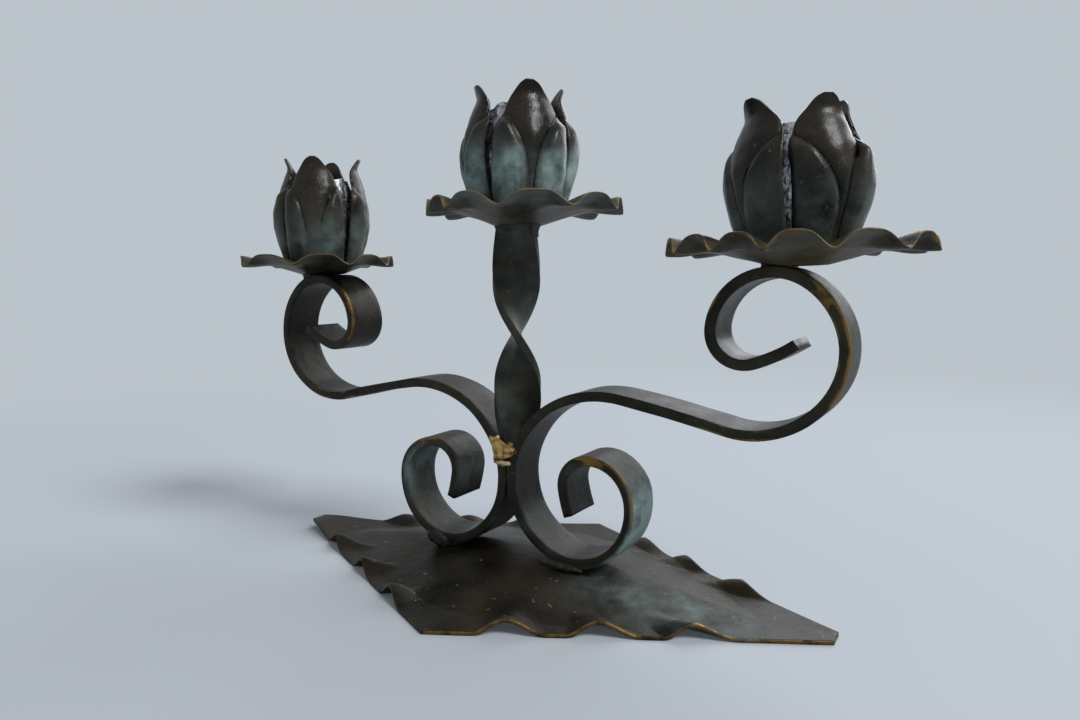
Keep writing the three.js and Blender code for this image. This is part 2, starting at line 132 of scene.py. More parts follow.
# Foil round the candles' feet
FOIL_HEIGHT = 43
FOIL_FOOT_RADIUS = 13
FOIL_HOLE = 23
FOIL_ROOM = 1.2                   # between the foil and the petals
FOIL_FLOOR = 1
FOIL_LIP_WIDTH = 2                # of the slope from the foil's top into the hole
FOIL_LIP_DEPTH = 1
FOIL_ROWS = 46
FOIL_HOLE_ROWS = 12
FOIL_SEGMENTS = 140

# Filler metal
LUMP_STRIPS = 22
WELD_STRIPS = 10
COLLAR_HEIGHT = 4.5               # down the stem from its top
# Ends of the weld under a pan, along X from the middle of the cup
PAN_WELD_REACH = {"left": (-8.6, -1), "right": (-12.5, -2)}

# Each flower: its pan, its cup, and the directions in which the pan's edge is crimped upwards
FLOWERS = {
    "left": dict(
        pan_radius=36.6, pan_shift=-3, pan_depth=6.3, ruffle=2.2,
        cup_radius=21.8, petal_height=50.6, petal_turn=-53, green=0.5,
        crests=[-88, -43, -2, 38, 80, 118, 155, 192, 231]),
    "center": dict(
        pan_radius=40.3, pan_shift=3, pan_depth=7.4, ruffle=2.6,
        cup_radius=23.6, petal_height=49.8, petal_turn=-43.5, green=1.05,
        crests=[-112, -88, -48, -11, 17, 52, 88, 124, 160, 196, 224]),
    "right": dict(
        pan_radius=43.5, pan_shift=-1, pan_depth=6.8, ruffle=2.6,
        cup_radius=23.8, petal_height=50, petal_turn=-39, green=0.5,
        crests=[-152, -123, -102, -79, -50, -15, 16, 48, 80, 112, 144, 176]),
}
# How a petal stands off the plain form: degrees by which it is set round the cup and its tip leans on,
# shares of the radius by which its tip leans inwards and its end is curled out, how strongly its side lobes
# and its middle lobe are beaten, how broad its middle lobe is on its two sides, how far its creases stand
# apart at the foot, how much taller it is, its reach from the cup's middle at its foot and its belly, and
# the millimetres by which it is cut back at half height on its two sides
PLAIN_HABIT = dict(set_round=0, lean=0, inwards=0, curl=0, relief=(1, 1), breadth=(1, 1),
                   crease=CREASE_AT_FOOT, taller=0, girth=(1, 1), gaps=(1, 1))
PETAL_HABITS = {
    ("left", 1): dict(relief=(0.6, 0.8), breadth=(1.12, 1.16), crease=0.2, curl=-0.01, taller=0.9),
    ("left", 2): dict(set_round=1.5, lean=2, inwards=-0.08, curl=0.03, taller=2),
    ("left", 3): dict(set_round=0.5, lean=-12, inwards=0.03, curl=0.02, taller=2.8, gaps=(0.8, 1)),
    ("left", 4): dict(set_round=-0.5, lean=2, inwards=0.09, curl=0.03, breadth=(1.2, 1.2), taller=2,
                      girth=(0.94, 0.95), gaps=(1, 0.6)),
    ("center", 1): dict(set_round=0.5, lean=1, curl=-0.02, relief=(1.15, 0.75), breadth=(1.02, 1.12),
                        taller=0.9, gaps=(1.6, 0.2)),
    ("center", 2): dict(set_round=-0.5, lean=3, curl=0.01, taller=2.2, girth=(0.94, 1), gaps=(0.6, 1)),
    ("center", 3): dict(set_round=0.5, lean=4, inwards=0.02, gaps=(1, 0.8)),
    ("center", 4): dict(set_round=-1, lean=5, inwards=0.05, breadth=(1.2, 1.2), taller=1.4,
                        girth=(0.93, 0.95), gaps=(0.8, 1.7)),
    ("right", 1): dict(lean=-12, inwards=0.06, relief=(1.5, 1.3), breadth=(1.25, 0.85), girth=(0.86, 0.965),
                       gaps=(1.1, 0.8)),
    ("right", 2): dict(set_round=0.5, lean=3, inwards=0.08, curl=0.02, relief=(1.3, 1.2), taller=2.4,
                       girth=(0.88, 0.95), gaps=(0.8, 1)),
    ("right", 3): dict(lean=3, inwards=0.02, girth=(1, 1.02)),
    ("right", 4): dict(set_round=-1, lean=-2, inwards=0.05, curl=0.02, relief=(0.5, 0.6),
                       breadth=(1.3, 1.3), taller=0.8, girth=(0.98, 1.08), gaps=(0.8, 1.3)),
}

# Camera: place in millimetres, and the way it looks in degrees
CAMERA_PLACE = (176.25, -274, 126.9)
CAMERA_YAW = 31.54
CAMERA_PITCH = 5.82
CAMERA_ROLL = 0.51
CAMERA_LENS = 25.42


# Small sums
def clamp01(value):
    return min(1.0, max(0.0, value))


def smooth(value):
    value = clamp01(value)
    return value * value * (3 - 2 * value)


def mix(a, b, share):
    return a + (b - a) * share


def through(points, place):
    """The value at a place on a smooth curve through (place, value) points."""
    if place <= points[0][0]:
        return points[0][1]
    for i in range(len(points) - 1):
        (p0, v0), (p1, v1) = points[i], points[i + 1]
        if place <= p1:
            before = points[max(i - 1, 0)]
            after = points[min(i + 2, len(points) - 1)]
            span = p1 - p0
            slope0 = (v1 - before[1]) / (p1 - before[0]) * span
            slope1 = (after[1] - v0) / (after[0] - p0) * span
            t = (place - p0) / span
            return ((2 * t**3 - 3 * t**2 + 1) * v0 + (t**3 - 2 * t**2 + t) * slope0
                    + (3 * t**2 - 2 * t**3) * v1 + (t**3 - t**2) * slope1)
    return points[-1][1]


def node_box(name):
    """A node's lowest and highest corners in millimetres."""
    low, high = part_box(name)
    return low / MM, high / MM


def node_foot(name):
    return node_box(name)[0].z


def joint_x():
    """Where the two scrolls stand back to back."""
    return (node_box("scroll_bar_left")[1].x + node_box("scroll_bar_right")[0].x) / 2


# Finishes
def srgb(code):
    """The linear colour of an sRGB hex value."""
    parts = [int(code[i:i + 2], 16) / 255 for i in (1, 3, 5)]
    return (*[c / 12.92 if c <= 0.04045 else ((c + 0.055) / 1.055) ** 2.4 for c in parts], 1)


def add(tree, kind, links=None, **settings):
    """Adds a node. Each link is an input's name or number, with a value or another node's output."""
    made = tree.nodes.new("ShaderNode" + kind)
    for name, value in settings.items():
        setattr(made, name, value)
    for name, value in (links or {}).items():
        if isinstance(value, bpy.types.NodeSocket):
            tree.links.new(value, made.inputs[name])
        else:
            made.inputs[name].default_value = value
    return made


def new_material(name):
    material = bpy.data.materials.new(name)
    material.use_nodes = True
    material.node_tree.nodes.clear()
    return material, material.node_tree


def patinated_brass(name, dark, light, gloss, roughness, fleck_share=0.0):
    """Hammered brass under a dark chemical patina: a satin film, olive brown to black, that turns to
    blue-green verdigris in soft drifts and is rubbed through to dull gold along the edges."""
    material, tree = new_material(name)
    place = add(tree, "TexCoord").outputs["Object"]
    cloud = add(tree, "TexNoise", {"Vector": place, "Scale": 1 / 0.024, "Detail": 3, "Roughness": 0.5})
    grain = add(tree, "TexNoise", {"Vector": place, "Scale": 1 / 0.002, "Detail": 4, "Roughness": 0.65})
    film = add(tree, "Math", {0: grain.outputs["Fac"], 1: 0.3, 2: cloud.outputs["Fac"]},
               operation="MULTIPLY_ADD")
    thin = add(tree, "MapRange", {"Value": film.outputs[0], "From Min": 0.5, "From Max": 0.84})
    brown = add(tree, "Mix", {0: thin.outputs[0], 6: srgb(dark), 7: srgb(light)}, data_type="RGBA")

    # Verdigris settles in drifts about 12 mm across, and is palest where it is thickest. Through the green
    # attribute, the same pale colour also paints a sheen on the plate's ridge, and a highlight and a
    # reflection on the scrolls
    green = add(tree, "Attribute", attribute_name="green")
    drift = add(tree, "TexNoise", {"Vector": place, "Scale": 1 / 0.012, "Detail": 6, "Roughness": 0.62})
    patchy = add(tree, "MapRange", {"Value": drift.outputs["Fac"], "From Min": 0.35, "From Max": 0.65,
                                    "To Min": 0.45, "To Max": 1.3})
    verdigris_and_sheen_share = add(tree, "Math", {0: green.outputs["Fac"], 1: patchy.outputs[0]}, operation="MULTIPLY")
    verdigris = add(tree, "Mix", {0: verdigris_and_sheen_share.outputs[0], 6: srgb("#28312d"), 7: srgb("#8fa5a1")},
                    data_type="RGBA")
    aged = add(tree, "Mix", {0: verdigris_and_sheen_share.outputs[0], 6: brown.outputs[2], 7: verdigris.outputs[2]},
               data_type="RGBA")

    # Hands rub the edges through in broken lines, 5 mm and less long
    wear = add(tree, "Attribute", attribute_name="wear")
    strokes = add(tree, "TexNoise", {"Vector": place, "Scale": 1 / 0.005, "Detail": 4, "Roughness": 0.65})
    rubbed = add(tree, "Math", {0: wear.outputs["Fac"], 1: strokes.outputs["Fac"]}, operation="MULTIPLY")
    bright = add(tree, "MapRange", {"Value": rubbed.outputs[0], "From Min": 0.27, "From Max": 0.47,
                                    "To Max": 0.8})
    worn = add(tree, "Mix", {0: bright.outputs[0], 6: aged.outputs[2], 7: srgb("#86693a")},
               data_type="RGBA")

    # Flecks of old wax and dust, a millimetre or so across
    dust = add(tree, "TexNoise", {"Vector": place, "Scale": 1 / 0.0035, "Detail": 3, "Roughness": 0.7})
    fleck = add(tree, "MapRange", {"Value": dust.outputs["Fac"], "From Min": 0.675, "From Max": 0.72,
                                   "To Max": fleck_share})
    colour = add(tree, "Mix", {0: fleck.outputs[0], 6: worn.outputs[2], 7: srgb("#86857d")},
                 data_type="RGBA")

    satin = add(tree, "MapRange", {"Value": film.outputs[0], "From Min": 0.5, "From Max": 0.84,
                                   "To Min": roughness - 0.06, "To Max": roughness + 0.14})
    dull = add(tree, "Math", {0: verdigris_and_sheen_share.outputs[0], 1: 0.12, 2: satin.outputs[0]},
               operation="MULTIPLY_ADD")

    # Hammer marks 8 mm across and less, and the grit of the patina, drawn at 0.8 mm so that it shows
    dents = add(tree, "TexNoise", {"Vector": place, "Scale": 1 / 0.008, "Detail": 5, "Roughness": 0.56})
    grit = add(tree, "TexNoise", {"Vector": place, "Scale": 1 / 0.0008, "Detail": 3})
    hammered = add(tree, "Bump", {"Height": dents.outputs["Fac"], "Strength": 0.6, "Distance": 0.0007})
    gritty = add(tree, "Bump", {"Height": grit.outputs["Fac"], "Normal": hammered.outputs[0],
                                "Strength": 0.5, "Distance": 0.00013})
    shader = add(tree, "BsdfPrincipled", {
        "Base Color": colour.outputs[2], "Metallic": bright.outputs[0], "Roughness": dull.outputs[0],
        "Specular IOR Level": gloss, "Normal": gritty.outputs[0]})
    add(tree, "OutputMaterial", {"Surface": shader.outputs[0]})
    return material


def bare_braze():
    """Brazing brass left bare: lumpy and warm yellow, dull in its pits and palest where it ran last."""
    material, tree = new_material("bare_brazing_brass")
    place = add(tree, "TexCoord").outputs["Object"]
    pits = add(tree, "TexNoise", {"Vector": place, "Scale": 1 / 0.0026, "Detail": 5, "Roughness": 0.6})
    depth = add(tree, "MapRange", {"Value": pits.outputs["Fac"], "From Min": 0.36, "From Max": 0.6})
    warm = add(tree, "Mix", {0: depth.outputs[0], 6: srgb("#7d6030"), 7: srgb("#cfae6c")},
               data_type="RGBA")
    fresh = add(tree, "Attribute", attribute_name="fresh")
    colour = add(tree, "Mix", {0: fresh.outputs["Fac"], 6: warm.outputs[2], 7: srgb("#cbb48c")},
                 data_type="RGBA")
    bump = add(tree, "Bump", {"Height": pits.outputs["Fac"], "Strength": 0.6, "Distance": 0.0005})
    shader = add(tree, "BsdfPrincipled", {
        "Base Color": colour.outputs[2], "Metallic": 0.7, "Roughness": 0.42, "Normal": bump.outputs[0]})
    add(tree, "OutputMaterial", {"Surface": shader.outputs[0]})
    return material


def crumpled_foil():
    """Kitchen foil, dulled by soot: aluminium that throws small hard glints from its creases. Its grey is
    mottled by soot and by painted sheen.
    """
    material, tree = new_material("crumpled_aluminium_foil")
    place = add(tree, "TexCoord").outputs["Object"]
    creases = add(tree, "TexVoronoi", {"Vector": place, "Scale": 1 / 0.002}, feature="DISTANCE_TO_EDGE")
    # Soot, and painted sheen: patches of lighter and darker grey some 4 mm across also stand in for crinkled
    # facets that catch the light differently
    soot_and_sheen = add(tree, "TexNoise", {"Vector": place, "Scale": 1 / 0.004, "Detail": 4})
    share = add(tree, "MapRange", {"Value": soot_and_sheen.outputs["Fac"], "From Min": 0.35, "From Max": 0.65})
    colour = add(tree, "Mix", {0: share.outputs[0], 6: srgb("#77787c"), 7: srgb("#cbccd0")},
                 data_type="RGBA")
    bump = add(tree, "Bump", {"Height": creases.outputs["Distance"], "Strength": 0.5, "Distance": 0.0003})
    shader = add(tree, "BsdfPrincipled", {
        "Base Color": colour.outputs[2], "Metallic": 1.0, "Roughness": 0.46, "Normal": bump.outputs[0]})
    add(tree, "OutputMaterial", {"Surface": shader.outputs[0]})
    return material


BARS = patinated_brass("dark_patinated_brass_bars", "#1b170e", "#3a3425", 0.12, 0.37, fleck_share=0.25)
PLATE = patinated_brass("dark_patinated_brass_plate", "#120c05", "#32291b", 0.14, 0.4, fleck_share=0.85)
PANS = patinated_brass("dark_patinated_brass_pans", "#1d170f", "#514834", 0.19, 0.4)
PETALS = patinated_brass("verdigris_patinated_brass", "#14100a", "#373024", 0.21, 0.27, fleck_share=0.4)
BRAZE = bare_braze()
FOIL = crumpled_foil()


# Workshop helpers
def paint(bm, name, amount):
    """Stores a number on every vertex, for the finish to read."""
    layer = bm.verts.layers.float.get(name) or bm.verts.layers.float.new(name)
    for vert in bm.verts:
        vert[layer] = amount(vert)


def hammer(bm, depth, size, tip_z=math.inf):
    """Beats shallow unevenness into every face, and leaves a thin tip as it is."""
    bm.normal_update()
    for vert in bm.verts:
        fade = smooth((tip_z - vert.co.z) / TIP_FADE)
        vert.co += vert.normal * depth * noise.noise(vert.co / size) * fade


def finish_piece(bm, name, node, material, flat=False):
    """Brings the shape to metres, makes it an object that stands for the node, and dresses it."""
    bmesh.ops.recalc_face_normals(bm, faces=bm.faces)
    bm.transform(Matrix.Scale(MM, 4))
    mesh = bpy.data.meshes.new(name)
    bm.to_mesh(mesh)
    bm.free()
    mesh.polygons.foreach_set("use_smooth", [not flat] * len(mesh.polygons))
    mesh.materials.append(material)
    piece = bpy.data.objects.new(name, mesh)
    bpy.context.scene.collection.objects.link(piece)
    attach(piece, "root")
    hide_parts(node)


def lathe(bm, profile, steps, merge):
    """Turns a line of (radius, height) points once round, and joins points closer than the given length."""
    line = [bm.verts.new((x, 0, z)) for x, z in profile]
    edges = [bm.edges.new(pair) for pair in zip(line, line[1:])]
    bmesh.ops.spin(bm, geom=line + edges, cent=(0, 0, 0), axis=(0, 0, 1), angle=2 * math.pi, steps=steps,
                   use_merge=True)
    bmesh.ops.remove_doubles(bm, verts=bm.verts, dist=merge)


def cup_centre(side):
    low, high = node_box("foil_liner_" + side)
    return Vector(((low.x + high.x) / 2, (low.y + high.y) / 2, 0))


def set_on_flower(bm, side, node):
    """Moves a piece made round the origin to its flower, with its foot at the node's foot."""
    place = cup_centre(side) + Vector((0, 0, node_foot(node)))
    bmesh.ops.translate(bm, vec=place, verts=bm.verts)


# Scrolled bars
def bar_section(bm):
    """The end of the flat bar as a sheet of faces, with its thickness along X and its width along Y."""
    sheet = bmesh.ops.create_grid(bm, x_segments=2, y_segments=BAR_SECTION_STRIPS, size=0.5)["verts"]
    bmesh.ops.scale(bm, vec=(BAR_THICKNESS, BAR_WIDTH, 1), verts=sheet)
    corners = [vert for vert in bm.verts if len(vert.link_edges) == 2]
    bmesh.ops.bevel(bm, geom=corners, offset=BAR_CORNER, segments=3, profile=0.5, affect="VERTICES",
                    material=-1)
    inner_x, inner_y = BAR_THICKNESS / 2 - BAR_CORNER * 1.1, BAR_WIDTH / 2 - BAR_CORNER * 1.1
    paint(bm, "wear", lambda vert: float(abs(vert.co.x) > inner_x and abs(vert.co.y) > inner_y))
    paint(bm, "outer_face", lambda vert: math.copysign(1, vert.co.x))
    return bm.faces[:]


def roll_bar(bm, section, start, heading, bends):
    """Rolls the bar on from a section through its bends, and tells where each bend's centre is."""
    place = Vector(start)
    end = section
    centres = []
    for radius, turn in bends:
        side = math.copysign(1, turn)
        angle = math.radians(abs(turn))
        left = Vector((-math.sin(heading), 0, math.cos(heading)))
        centre = place + side * radius * left
        axis = Vector((0, -side, 0))
        steps = math.ceil(max(radius * angle / ROLLING_STEP, abs(turn) / ROLLING_TURN))
        end = bmesh.ops.spin(bm, geom=end, cent=centre, axis=axis, angle=angle, steps=steps)["geom_last"]
        place = centre + Matrix.Rotation(angle, 3, axis) @ (place - centre)
        heading += side * angle
        centres.append(centre)
    return centres


CROWNS = {}                       # X of the place where each scroll carries its pan


def rolled_scroll(side, way):
    node = "scroll_bar_" + side
    low, high = node_box(node)
    bm = bmesh.new()
    section = bar_section(bm)
    start = ((BAR_THICKNESS + BAR_GAP) / 2, 0, 0)
    bmesh.ops.translate(bm, vec=start, verts=bm.verts)
    formers = roll_bar(bm, section, start, math.radians(90), UPPER_BENDS)
    upper_count = len(bm.verts)
    roll_bar(bm, section, start, math.radians(-90), LOWER_BENDS)
    # Both rollings start from one section, which would stay in the bar as a sheet
    sheet_inside = [face for face in bm.faces if all(abs(vert.co.z) < 1e-4 for vert in face.verts)]
    bmesh.ops.scale(bm, vec=(way, 1, 1), verts=bm.verts)
    lift = low.z - min(vert.co.z for vert in bm.verts)
    bmesh.ops.translate(bm, vec=(joint_x(), (low.y + high.y) / 2, lift), verts=bm.verts)
    CROWNS[side] = joint_x() + way * formers[CROWN_BEND].x
    wear, outer_face = bm.verts.layers.float["wear"], bm.verts.layers.float["outer_face"]
    green = bm.verts.layers.float.new("green")
    for number, vert in enumerate(bm.verts):
        outer = vert[outer_face] * (1 if number < upper_count else -1) > 0
        edge_wear = vert[wear] * rubbing(vert.co) * (1 if outer else INNER_EDGE_SHARE)
        vert[wear] = max(edge_wear, wide_rubbing(vert.co))
        # Verdigris, with a painted highlight and a painted reflection in two of its drifts
        vert[green] = verdigris_and_sheen_at(vert.co, outer)
    bmesh.ops.delete(bm, geom=sheet_inside, context="FACES")
    hammer(bm, depth=0.18, size=14)
    finish_piece(bm, "rolled_scroll_" + side, node, BARS)


# Stretches of the bars' near edges that are rubbed bright: x, z and how far the rubbing reaches
RUBBED_STRETCHES = [
    (126, 122, 8), (132.5, 110, 12), (132, 97, 8), (128, 88, 6), (87.6, 120.2, 5), (89, 75.5, 7),
    (103, 75, 8), (35.1, 57.2, 6), (45, 56, 9), (53, 50, 9), (58, 39, 9), (-49.2, 55.8, 6), (-42, 59, 5),
    (-90.8, 119.4, 7), (-88, 105, 9), (-74.1, 120.8, 4), (-71.4, 110.2, 6), (-108, 76.5, 8), (-92, 76, 9),
]


def rubbing(point):
    """How much hands have rubbed the bars at a point."""
    rubbed = max(smooth(1.3 - math.hypot(point.x - x, point.z - z) / reach)
                 for x, z, reach in RUBBED_STRETCHES)
    return EDGE_WEAR + (HAND_WEAR * rubbed if point.y < 0 else 0)


# Places where the whole thickness of a near edge is rubbed bright: x, z, reach
WIDE_RUBS = [(40.5, 57, 6.5), (-46, 57.5, 3), (125.5, 122, 4), (-89, 118, 2.5)]


def wide_rubbing(point):
    """How much the whole near edge is rubbed at a point."""
    rubbed = max(smooth(1.4 - math.hypot(point.x - x, point.z - z) / reach) for x, z, reach in WIDE_RUBS)
    return rubbed if point.y < NEAR_EDGE_Y else 0


# Drifts of verdigris on the bars: x, z, reach, whether on a scroll's outer face, and how thick. The first,
# the palest, on the right scroll's lower outer face, also paints a highlight, and the second, on the left
# scroll's inner face, also paints a reflection
VERDIGRIS_AND_SHEEN_DRIFTS = [
    (62, 26, 44, True, 1.3), (-58, 46, 34, False, 0.6), (16, 26, 30, False, 0.35), (-26, 44, 16, True, 0.5),
    (34, 52, 12, False, 0.5), (2, 26, 28, True, 0.3), (-2, 26, 28, True, 0.3), (-46, 14, 26, False, 0.3),
]


def verdigris_and_sheen_at(point, outer):
    """How thickly verdigris lies on the bars at a point: thin everywhere, and thicker in the drifts.
    Two of the drifts also paint a highlight and a reflection.
    """
    thickest = THIN_VERDIGRIS
    for x, z, reach, on_outer, amount in VERDIGRIS_AND_SHEEN_DRIFTS:
        if on_outer == outer:
            share = smooth(1 - math.hypot(point.x - x, point.z - z) / reach)
            thickest = max(thickest, amount * share)
    return thickest


def stem_turn(share):
    """How far the stem is twisted at this share of its height."""
    return math.radians(TWIST_TURN) * mix(share, smooth(share), TWIST_EASE)


def twisted_stem():
    node = "twisted_centre_bar"
    low, high = node_box(node)
    bm = bmesh.new()
    end = bar_section(bm)
    turned = 0
    for step in range(1, TWIST_STEPS + 1):
        share = step / TWIST_STEPS
        turn = stem_turn(share)
        end = bmesh.ops.spin(bm, geom=end, cent=(0, 0, 0), axis=(0, 0, 1), angle=turn - turned,
                             dvec=(0, 0, (high.z - low.z) / TWIST_STEPS), steps=1)["geom_last"]
        turned = turn
    bmesh.ops.translate(bm, vec=(joint_x(), (low.y + high.y) / 2, low.z), verts=bm.verts)
    wear = bm.verts.layers.float["wear"]
    paint(bm, "wear", lambda vert: vert[wear] * EDGE_WEAR)
    paint(bm, "green", lambda vert: STEM_VERDIGRIS)
    hammer(bm, depth=0.2, size=12)
    finish_piece(bm, "twisted_stem", node, BARS)


# Foot plate
def dome_rise(x, y):
    """How far the plate is raised along its middle."""
    share = (abs(x / PLATE_HALF_LENGTH) ** RIDGE_POWER
             + abs(y / PLATE_HALF_WIDTH) ** SLOPE_POWER) ** (1 / RIDGE_POWER)
    return DOME_HEIGHT * math.cos(math.pi / 2 * share / DOME_REACH) if share < DOME_REACH else 0


def crimp_share(x, y, outwards, along):
    """How far the nearest crimp of this edge is raised, 0 to 1, and its full height. A crimp narrows as it
    runs inwards."""
    crimps = CRIMPS["front" if y < 0 else "back", "right" if x > 0 else "left"]
    fade = smooth((outwards - CRIMP_INNER_SHARE) / (1 - CRIMP_INNER_SHARE))
    offset = min((along - place for place in crimps["places"]), key=abs)
    t = offset / crimps["half_width"] / mix(CRIMP_FOOT_SHARE, 1, fade)
    t += crimps["lean"] * clamp01(1 - t * t)
    return fade * (0.5 + 0.5 * math.cos(math.pi * min(1, abs(t)))), crimps["height"]


def tip_rise(x):
    return RAISED_TIP_HEIGHT * smooth((-x - PLATE_HALF_LENGTH + RAISED_TIP_LENGTH) / RAISED_TIP_LENGTH)


def plate_verdigris_and_sheen(x, y):
    """Verdigris and painted sheen along the near side of the ridge, from the right loop's foot to where it
    ends.
    """
    along = smooth((x - 18) / 30) * (1 - smooth((x - 92) / 26))
    across = smooth((y + 40) / 26) * smooth((8 - y) / 14)
    return 0.08 + 0.43 * along * across


def leaf_foot():
    node = "leaf_foot_plate"
    low, high = node_box(node)
    bm = bmesh.new()
    wear = bm.verts.layers.float.new("wear")
    # A square sheet pulled into a lozenge, with its two sharp tips cut off
    bmesh.ops.create_grid(bm, x_segments=PLATE_STRIPS, y_segments=PLATE_STRIPS, size=1)
    full_length = PLATE_HALF_LENGTH / (1 - PLATE_TIP_WIDTH / 2 / PLATE_HALF_WIDTH)
    for vert in bm.verts:
        s, t = vert.co.x, vert.co.y
        vert.co = (full_length * (s - t) / 2, PLATE_HALF_WIDTH * (s + t) / 2, 0)
    for way in (-1, 1):
        geometry = bm.verts[:] + bm.edges[:] + bm.faces[:]
        bmesh.ops.bisect_plane(bm, geom=geometry, plane_co=(way * PLATE_HALF_LENGTH, 0, 0),
                               plane_no=(way, 0, 0), clear_outer=True)
    rim = {vert for edge in bm.edges if edge.is_boundary for vert in edge.verts}
    for vert in bm.verts:
        x, y = vert.co.x, vert.co.y
        outwards = abs(x) / full_length + abs(y) / PLATE_HALF_WIDTH
        along = abs(x) / full_length / max(outwards, 1e-6)
        raised, height = crimp_share(x, y, outwards, along)
        pulled = 1 - CRIMP_PULL / PLATE_HALF_WIDTH * raised
        vert.co = (x * pulled, y * pulled, dome_rise(x, y) + height * raised + tip_rise(x))
        rim_wear = NEAR_RIGHT_RIM_WEAR if y < 0 and x > 0 else RIM_WEAR
        vert[wear] = rim_wear if vert in rim else 0
    bmesh.ops.recalc_face_normals(bm, faces=bm.faces)
    bmesh.ops.solidify(bm, geom=bm.faces[:], thickness=-PLATE_THICKNESS)
    bmesh.ops.translate(bm, vec=((low.x + high.x) / 2, 0, 0), verts=bm.verts)
    settle = low.z - min(vert.co.z for vert in bm.verts)
    bmesh.ops.translate(bm, vec=(0, 0, settle), verts=bm.verts)
    # Verdigris on the plate, and a painted sheen along the near slope of its ridge
    paint(bm, "green", lambda vert: plate_verdigris_and_sheen(vert.co.x, vert.co.y))
    hammer(bm, depth=0.25, size=16)
    finish_piece(bm, "leaf_foot", node, PLATE)


# Drip pans
def pan_rise(radius, rim_radius, depth):
    """The height of the pan's dish at a radius."""
    share = clamp01((radius - PAN_FLOOR_RADIUS) / (rim_radius - PAN_FLOOR_RADIUS))
    return depth * share * (1 + PAN_BELLY * (1 - share))


def ruffle_at(angle, crests):
    """A wave round the pan with broad crests and narrow troughs between them."""
    turns = [*crests, crests[0] + 360]
    place = (angle - crests[0]) % 360 + crests[0]
    following = next(i for i, crest in enumerate(turns) if crest > place)
    start, end = turns[following - 1], turns[following]
    turn = 2 * math.pi * (place - start) / (end - start)
    return math.cos(turn) - 0.32 * math.cos(2 * turn) + 0.05 * math.cos(3 * turn)


def ruffled_pan(side):
    flower = FLOWERS[side]
    node = "drip_pan_" + side
    bm = bmesh.new()
    # The pan's edge-on profile, in shares of the radius: under face outwards, rounded rim, upper face back
    shares = [i / PAN_RINGS for i in range(PAN_RINGS + 1)]
    thinning = [smooth((share - PAN_THINNING_START) / PAN_THINNING_SPAN) for share in shares]
    profile = [(share, PAN_RIM_THINNING * thin) for share, thin in zip(shares, thinning)]
    profile += [(1.008, mix(PAN_RIM_THINNING, PAN_THICKNESS, part)) for part in (0.35, 0.7)]
    profile += [(share, PAN_THICKNESS) for share in reversed(shares)]
    lathe(bm, profile, PAN_SEGMENTS, merge=1e-5)
    wear = bm.verts.layers.float.new("wear")
    green = bm.verts.layers.float.new("green")
    for vert in bm.verts:
        share = math.hypot(vert.co.x, vert.co.y)
        angle = math.atan2(vert.co.y, vert.co.x)
        rim_radius = flower["pan_radius"] + flower["pan_shift"] * math.cos(angle)
        wave = ruffle_at(math.degrees(angle), flower["crests"])
        fold = smooth((share - PAN_RUFFLE_START) / (1 - PAN_RUFFLE_START))
        radius = share * rim_radius - PAN_RUFFLE_PULL * fold * wave
        rise = pan_rise(share * rim_radius, rim_radius, flower["pan_depth"]) + flower["ruffle"] * fold * wave
        at_edge = smooth((share - 0.985) / 0.01) * smooth((vert.co.z / PAN_THICKNESS - 0.3) / 0.2)
        vert[wear] = max(0.72 * at_edge, 0.6 * smooth((share - 0.935) / 0.04))
        vert[green] = flower["green"] * (0.1 + 0.25 * smooth((share - 0.5) / 0.5))
        vert.co = (radius * math.cos(angle), radius * math.sin(angle), vert.co.z + rise)
    set_on_flower(bm, side, node)
    hammer(bm, depth=0.25, size=9)
    finish_piece(bm, "ruffled_pan_" + side, node, PANS)


# Petals
def petal_habit(side, number):
    """How this petal differs from the plain form."""
    return {**PLAIN_HABIT, **PETAL_HABITS.get((side, number), {})}


def habit_reach(habit, share):
    """What a petal's girth and its inward lean make of the cup's radius at this share of the height."""
    return mix(*habit["girth"], smooth(share / 0.55)) * (1 - habit["inwards"] * smooth((share - 0.35) / 0.65))


def petal_across(habit, column, share):
    """How far a column of the petal's sheet lies from its middle, as a share of the full half width, and how
    far it lies from the middle to the crease and from there to the side."""
    from_middle = abs(column)
    above_lobes = smooth((share - 0.5) / 0.2) - 0.6 * smooth((share - 0.8) / 0.15)
    broadening = mix(1, habit["breadth"][column > 0], above_lobes)
    outline = min(through(PETAL_OUTLINE, share) * broadening, 0.99)
    crease = mix(habit["crease"], 1, clamp01(share / CREASE_REACH) ** 4)
    crease = min(crease, 0.975 * outline)
    in_middle = clamp01(2 * from_middle)
    in_side = clamp01(2 * from_middle - 1)
    across = mix(crease, outline, in_side) if from_middle > 0.5 else crease * in_middle
    return across, in_middle, in_side


def side_puff(share, in_side):
    """How far a side lobe is beaten out, 0 to 1: steep at the crease, and fading above the lobe."""
    puff = smooth(in_side / 0.3) * math.cos(0.44 * math.pi * in_side ** 1.7)
    return puff * (mix(0.3, 1, smooth(share / 0.42)) * smooth((LOBE_TOP + 0.02 - share) / 0.1))


def middle_bulge(share, in_middle):
    """How far the middle lobe is beaten out, 0 to 1."""
    return (1 - in_middle ** 2) * smooth((share - 0.2) / 0.35) * (1 - smooth((share - 0.8) / 0.14))


